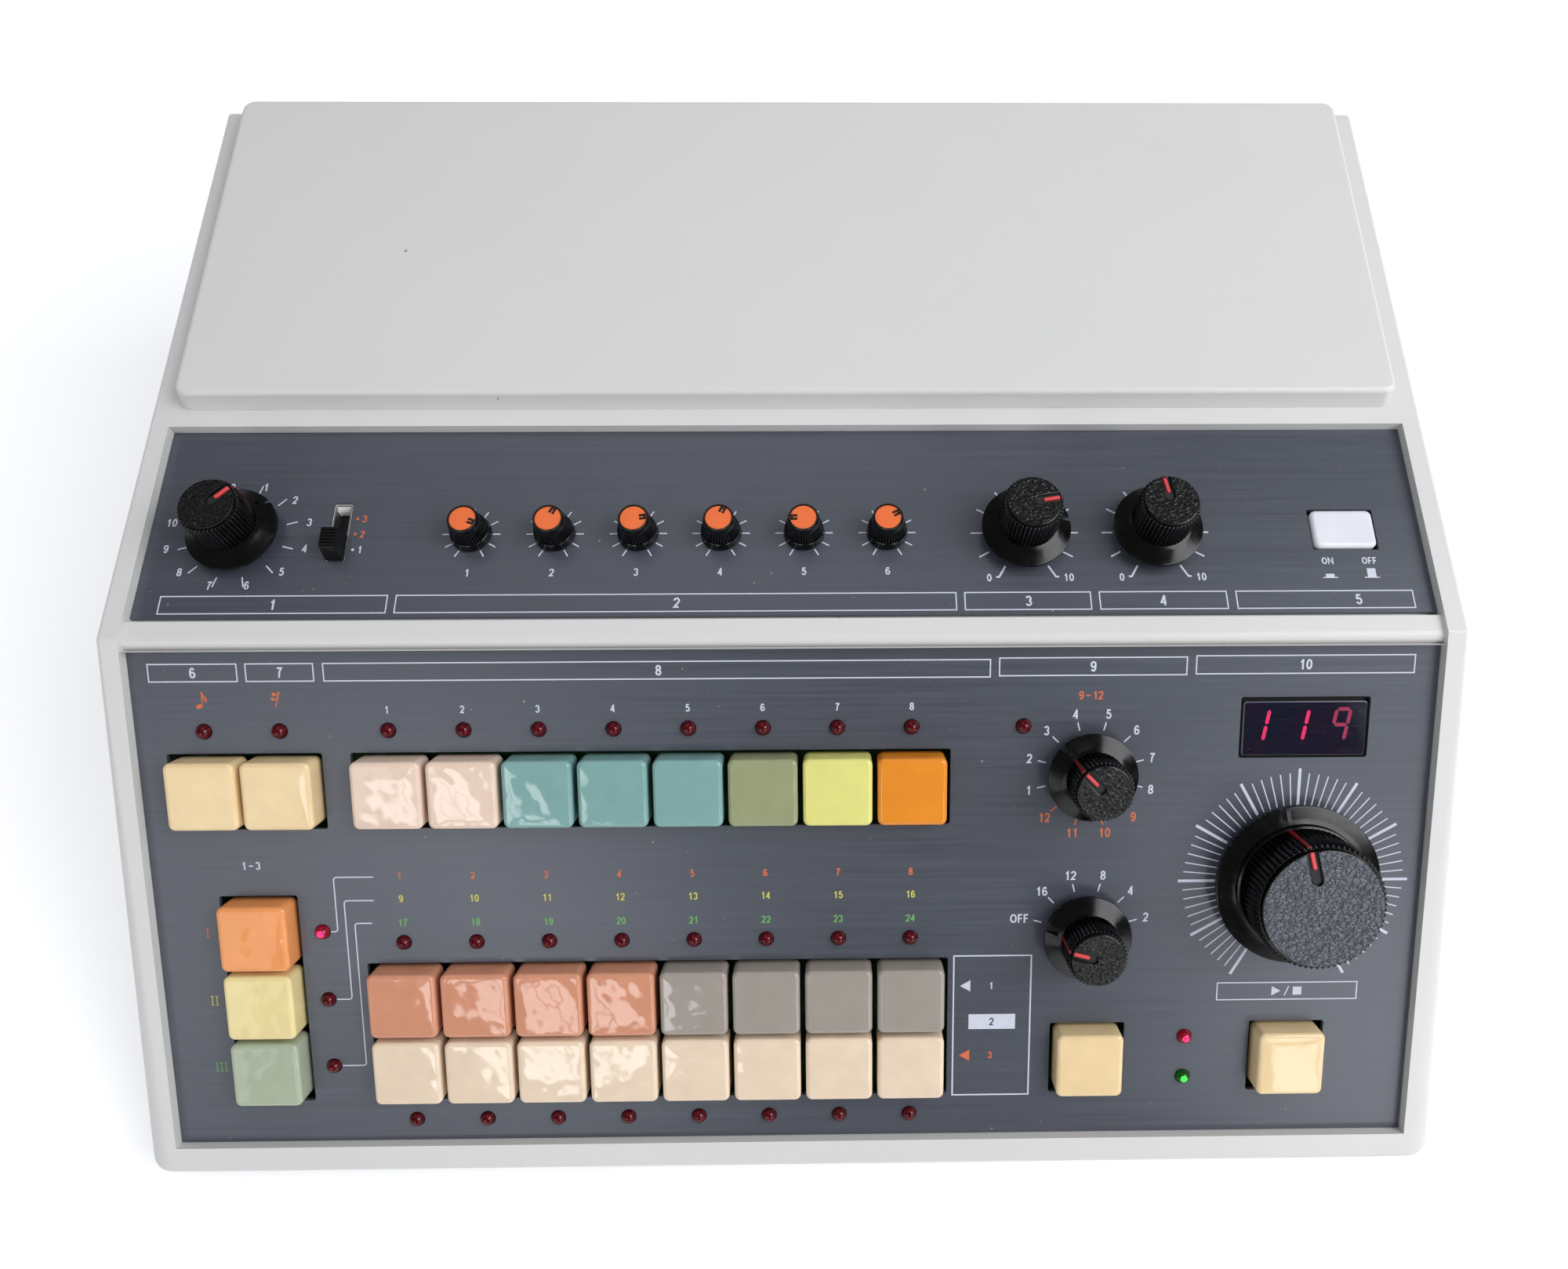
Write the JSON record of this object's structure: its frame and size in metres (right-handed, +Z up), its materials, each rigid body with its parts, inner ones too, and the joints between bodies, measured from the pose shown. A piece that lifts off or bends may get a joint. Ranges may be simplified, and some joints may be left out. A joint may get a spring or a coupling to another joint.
{
  "type": "drum machine",
  "caption": "Desktop rhythm unit: wedge case with a sloped key desk, a deck of rotary controls, a large tempo dial, coloured square keys, lamps and a small red display.",
  "frame": {"origin": "on the table, under the middle of the case's outline", "axes": "+X to the right seen from the player, +Y to the back, +Z up"},
  "size_m": [0.3886, 0.327, 0.128],
  "materials": {
    "case_ivory": "satin moulded plastic",
    "panel_charcoal": "brushed along the width, dark anodised",
    "display_red": "smoked red filter, polished",
    "display_dark": "matt",
    "lamp_red": "clear tinted dome",
    "knob_black": "glossy skirt and flutes, grained top",
    "switch_black": "satin moulded plastic",
    "control_steel": "plated",
    "screw_steel": "zinc plated",
    "board_green": "solder resist",
    "core_grey": "varnished laminations",
    "foot_rubber": "matt",
    "button_white": "glossy",
    "key_tan": "glossy",
    "key_blush": "glossy",
    "key_teal": "glossy",
    "key_olive": "glossy",
    "key_lime": "glossy",
    "key_orange": "glossy",
    "key_straw": "glossy",
    "key_sage": "glossy",
    "key_clay": "glossy",
    "key_stone": "glossy",
    "key_cream": "glossy"
  },
  "bodies": {
    "case": {"top_case": "case_ivory", "rear_cover": "case_ivory", "desk_panel": "panel_charcoal", "deck_panel": "panel_charcoal", "bottom_case": "case_ivory", "display_window": "display_red", "display_digits": "display_dark", "indicator_lamps": "lamp_red", "key_switches": "switch_black", "rotary_controls": "control_steel", "circuit_boards": "board_green", "power_transformer": "core_grey", "rear_sockets": "switch_black", "rubber_feet": "foot_rubber", "case_screws": "screw_steel"},
    "key_register": {"key_register": "key_tan"},
    "key_crash": {"key_crash": "key_tan"},
    "key_arranger_1": {"key_arranger_1": "key_blush"},
    "key_arranger_2": {"key_arranger_2": "key_blush"},
    "key_arranger_3": {"key_arranger_3": "key_teal"},
    "key_arranger_4": {"key_arranger_4": "key_teal"},
    "key_arranger_5": {"key_arranger_5": "key_teal"},
    "key_arranger_6": {"key_arranger_6": "key_olive"},
    "key_arranger_7": {"key_arranger_7": "key_lime"},
    "key_arranger_8": {"key_arranger_8": "key_orange"},
    "key_bank_1": {"key_bank_1": "key_orange"},
    "key_bank_2": {"key_bank_2": "key_straw"},
    "key_bank_3": {"key_bank_3": "key_sage"},
    "key_preset_1": {"key_preset_1": "key_clay"},
    "key_preset_2": {"key_preset_2": "key_clay"},
    "key_preset_3": {"key_preset_3": "key_clay"},
    "key_preset_4": {"key_preset_4": "key_clay"},
    "key_preset_5": {"key_preset_5": "key_stone"},
    "key_preset_6": {"key_preset_6": "key_stone"},
    "key_preset_7": {"key_preset_7": "key_stone"},
    "key_preset_8": {"key_preset_8": "key_stone"},
    "key_program_1": {"key_program_1": "key_cream"},
    "key_program_2": {"key_program_2": "key_cream"},
    "key_program_3": {"key_program_3": "key_cream"},
    "key_program_4": {"key_program_4": "key_cream"},
    "key_program_5": {"key_program_5": "key_cream"},
    "key_program_6": {"key_program_6": "key_cream"},
    "key_program_7": {"key_program_7": "key_cream"},
    "key_program_8": {"key_program_8": "key_cream"},
    "key_fill_in": {"key_fill_in": "key_tan"},
    "key_start_stop": {"key_start_stop": "key_tan"},
    "knob_program_mode": {"knob_program_mode": "knob_black"},
    "knob_level_1": {"knob_level_1": "knob_black"},
    "knob_level_2": {"knob_level_2": "knob_black"},
    "knob_level_3": {"knob_level_3": "knob_black"},
    "knob_level_4": {"knob_level_4": "knob_black"},
    "knob_level_5": {"knob_level_5": "knob_black"},
    "knob_level_6": {"knob_level_6": "knob_black"},
    "knob_accent": {"knob_accent": "knob_black"},
    "knob_volume": {"knob_volume": "knob_black"},
    "knob_intro_fill": {"knob_intro_fill": "knob_black"},
    "knob_auto_fill": {"knob_auto_fill": "knob_black"},
    "knob_tempo": {"knob_tempo": "knob_black"},
    "slide_switch_lever": {"slide_switch_lever": "switch_black"},
    "power_button": {"power_button": "button_white"}
  },
  "joints": [
    {"name": "key_register_press", "type": "slide", "parent": "case", "child": "key_register", "axis": [0, 0.5635, -0.8261], "range_m": [0, 0.0025], "stiffness_N_per_m": 100, "springref_m": -0.005},
    {"name": "key_crash_press", "type": "slide", "parent": "case", "child": "key_crash", "axis": [0, 0.5635, -0.8261], "range_m": [0, 0.0025], "stiffness_N_per_m": 100, "springref_m": -0.005},
    {"name": "key_arranger_1_press", "type": "slide", "parent": "case", "child": "key_arranger_1", "axis": [0, 0.5635, -0.8261], "range_m": [0, 0.0025], "stiffness_N_per_m": 100, "springref_m": -0.005},
    {"name": "key_arranger_2_press", "type": "slide", "parent": "case", "child": "key_arranger_2", "axis": [0, 0.5635, -0.8261], "range_m": [0, 0.0025], "stiffness_N_per_m": 100, "springref_m": -0.005},
    {"name": "key_arranger_3_press", "type": "slide", "parent": "case", "child": "key_arranger_3", "axis": [0, 0.5635, -0.8261], "range_m": [0, 0.0025], "stiffness_N_per_m": 100, "springref_m": -0.005},
    {"name": "key_arranger_4_press", "type": "slide", "parent": "case", "child": "key_arranger_4", "axis": [0, 0.5635, -0.8261], "range_m": [0, 0.0025], "stiffness_N_per_m": 100, "springref_m": -0.005},
    {"name": "key_arranger_5_press", "type": "slide", "parent": "case", "child": "key_arranger_5", "axis": [0, 0.5635, -0.8261], "range_m": [0, 0.0025], "stiffness_N_per_m": 100, "springref_m": -0.005},
    {"name": "key_arranger_6_press", "type": "slide", "parent": "case", "child": "key_arranger_6", "axis": [0, 0.5635, -0.8261], "range_m": [0, 0.0025], "stiffness_N_per_m": 100, "springref_m": -0.005},
    {"name": "key_arranger_7_press", "type": "slide", "parent": "case", "child": "key_arranger_7", "axis": [0, 0.5635, -0.8261], "range_m": [0, 0.0025], "stiffness_N_per_m": 100, "springref_m": -0.005},
    {"name": "key_arranger_8_press", "type": "slide", "parent": "case", "child": "key_arranger_8", "axis": [0, 0.5635, -0.8261], "range_m": [0, 0.0025], "stiffness_N_per_m": 100, "springref_m": -0.005},
    {"name": "key_bank_1_press", "type": "slide", "parent": "case", "child": "key_bank_1", "axis": [0, 0.5635, -0.8261], "range_m": [0, 0.0025], "stiffness_N_per_m": 100, "springref_m": -0.005},
    {"name": "key_bank_2_press", "type": "slide", "parent": "case", "child": "key_bank_2", "axis": [0, 0.5635, -0.8261], "range_m": [0, 0.0025], "stiffness_N_per_m": 100, "springref_m": -0.005},
    {"name": "key_bank_3_press", "type": "slide", "parent": "case", "child": "key_bank_3", "axis": [0, 0.5635, -0.8261], "range_m": [0, 0.0025], "stiffness_N_per_m": 100, "springref_m": -0.005},
    {"name": "key_preset_1_press", "type": "slide", "parent": "case", "child": "key_preset_1", "axis": [0, 0.5635, -0.8261], "range_m": [0, 0.0025], "stiffness_N_per_m": 100, "springref_m": -0.005},
    {"name": "key_preset_2_press", "type": "slide", "parent": "case", "child": "key_preset_2", "axis": [0, 0.5635, -0.8261], "range_m": [0, 0.0025], "stiffness_N_per_m": 100, "springref_m": -0.005},
    {"name": "key_preset_3_press", "type": "slide", "parent": "case", "child": "key_preset_3", "axis": [0, 0.5635, -0.8261], "range_m": [0, 0.0025], "stiffness_N_per_m": 100, "springref_m": -0.005},
    {"name": "key_preset_4_press", "type": "slide", "parent": "case", "child": "key_preset_4", "axis": [0, 0.5635, -0.8261], "range_m": [0, 0.0025], "stiffness_N_per_m": 100, "springref_m": -0.005},
    {"name": "key_preset_5_press", "type": "slide", "parent": "case", "child": "key_preset_5", "axis": [0, 0.5635, -0.8261], "range_m": [0, 0.0025], "stiffness_N_per_m": 100, "springref_m": -0.005},
    {"name": "key_preset_6_press", "type": "slide", "parent": "case", "child": "key_preset_6", "axis": [0, 0.5635, -0.8261], "range_m": [0, 0.0025], "stiffness_N_per_m": 100, "springref_m": -0.005},
    {"name": "key_preset_7_press", "type": "slide", "parent": "case", "child": "key_preset_7", "axis": [0, 0.5635, -0.8261], "range_m": [0, 0.0025], "stiffness_N_per_m": 100, "springref_m": -0.005},
    {"name": "key_preset_8_press", "type": "slide", "parent": "case", "child": "key_preset_8", "axis": [0, 0.5635, -0.8261], "range_m": [0, 0.0025], "stiffness_N_per_m": 100, "springref_m": -0.005},
    {"name": "key_program_1_press", "type": "slide", "parent": "case", "child": "key_program_1", "axis": [0, 0.5635, -0.8261], "range_m": [0, 0.0025], "stiffness_N_per_m": 100, "springref_m": -0.005},
    {"name": "key_program_2_press", "type": "slide", "parent": "case", "child": "key_program_2", "axis": [0, 0.5635, -0.8261], "range_m": [0, 0.0025], "stiffness_N_per_m": 100, "springref_m": -0.005},
    {"name": "key_program_3_press", "type": "slide", "parent": "case", "child": "key_program_3", "axis": [0, 0.5635, -0.8261], "range_m": [0, 0.0025], "stiffness_N_per_m": 100, "springref_m": -0.005},
    {"name": "key_program_4_press", "type": "slide", "parent": "case", "child": "key_program_4", "axis": [0, 0.5635, -0.8261], "range_m": [0, 0.0025], "stiffness_N_per_m": 100, "springref_m": -0.005},
    {"name": "key_program_5_press", "type": "slide", "parent": "case", "child": "key_program_5", "axis": [0, 0.5635, -0.8261], "range_m": [0, 0.0025], "stiffness_N_per_m": 100, "springref_m": -0.005},
    {"name": "key_program_6_press", "type": "slide", "parent": "case", "child": "key_program_6", "axis": [0, 0.5635, -0.8261], "range_m": [0, 0.0025], "stiffness_N_per_m": 100, "springref_m": -0.005},
    {"name": "key_program_7_press", "type": "slide", "parent": "case", "child": "key_program_7", "axis": [0, 0.5635, -0.8261], "range_m": [0, 0.0025], "stiffness_N_per_m": 100, "springref_m": -0.005},
    {"name": "key_program_8_press", "type": "slide", "parent": "case", "child": "key_program_8", "axis": [0, 0.5635, -0.8261], "range_m": [0, 0.0025], "stiffness_N_per_m": 100, "springref_m": -0.005},
    {"name": "key_fill_in_press", "type": "slide", "parent": "case", "child": "key_fill_in", "axis": [0, 0.5635, -0.8261], "range_m": [0, 0.0025], "stiffness_N_per_m": 100, "springref_m": -0.005},
    {"name": "key_start_stop_press", "type": "slide", "parent": "case", "child": "key_start_stop", "axis": [0, 0.5635, -0.8261], "range_m": [0, 0.0025], "stiffness_N_per_m": 100, "springref_m": -0.005},
    {"name": "knob_program_mode_turn", "type": "hinge", "parent": "case", "child": "knob_program_mode", "pos_m": [-0.1595, 0.00401, 0.10873], "axis": [0, -0.0349, 0.9994], "range_deg": [-120, 210]},
    {"name": "knob_level_1_turn", "type": "hinge", "parent": "case", "child": "knob_level_1", "pos_m": [-0.0923, 0.00411, 0.10873], "axis": [0, -0.0349, 0.9994], "range_deg": [-40, 260]},
    {"name": "knob_level_2_turn", "type": "hinge", "parent": "case", "child": "knob_level_2", "pos_m": [-0.0682, 0.00411, 0.10873], "axis": [0, -0.0349, 0.9994], "range_deg": [-124, 176]},
    {"name": "knob_level_3_turn", "type": "hinge", "parent": "case", "child": "knob_level_3", "pos_m": [-0.0441, 0.00411, 0.10873], "axis": [0, -0.0349, 0.9994], "range_deg": [-67, 233]},
    {"name": "knob_level_4_turn", "type": "hinge", "parent": "case", "child": "knob_level_4", "pos_m": [-0.02, 0.00411, 0.10873], "axis": [0, -0.0349, 0.9994], "range_deg": [-126, 174]},
    {"name": "knob_level_5_turn", "type": "hinge", "parent": "case", "child": "knob_level_5", "pos_m": [0.0041, 0.00411, 0.10873], "axis": [0, -0.0349, 0.9994], "range_deg": [-240, 60]},
    {"name": "knob_level_6_turn", "type": "hinge", "parent": "case", "child": "knob_level_6", "pos_m": [0.0282, 0.00411, 0.10873], "axis": [0, -0.0349, 0.9994], "range_deg": [-87, 213]},
    {"name": "knob_accent_turn", "type": "hinge", "parent": "case", "child": "knob_accent", "pos_m": [0.0684, 0.00381, 0.10872], "axis": [0, -0.0349, 0.9994], "range_deg": [-70, 230]},
    {"name": "knob_volume_turn", "type": "hinge", "parent": "case", "child": "knob_volume", "pos_m": [0.1067, 0.00381, 0.10872], "axis": [0, -0.0349, 0.9994], "range_deg": [-160, 140]},
    {"name": "knob_intro_fill_turn", "type": "hinge", "parent": "case", "child": "knob_intro_fill", "pos_m": [0.0862, -0.06216, 0.08476], "axis": [0, -0.5635, 0.8261], "range_deg": [-270, 60]},
    {"name": "knob_auto_fill_turn", "type": "hinge", "parent": "case", "child": "knob_auto_fill", "pos_m": [0.0862, -0.1023, 0.05737], "axis": [0, -0.5635, 0.8261], "range_deg": [-150, 0]},
    {"name": "knob_tempo_turn", "type": "hinge", "parent": "case", "child": "knob_tempo", "pos_m": [0.147, -0.08917, 0.06633], "axis": [0, -0.5635, 0.8261], "range_deg": [-165, 135]},
    {"name": "slide_switch_slide", "type": "slide", "parent": "case", "child": "slide_switch_lever", "axis": [0, 0.9994, 0.0349], "range_m": [0, 0.0098]},
    {"name": "power_button_push", "type": "slide", "parent": "case", "child": "power_button", "axis": [0, -0.0349, 0.9994], "range_m": [0, 0.004]}
  ]
}
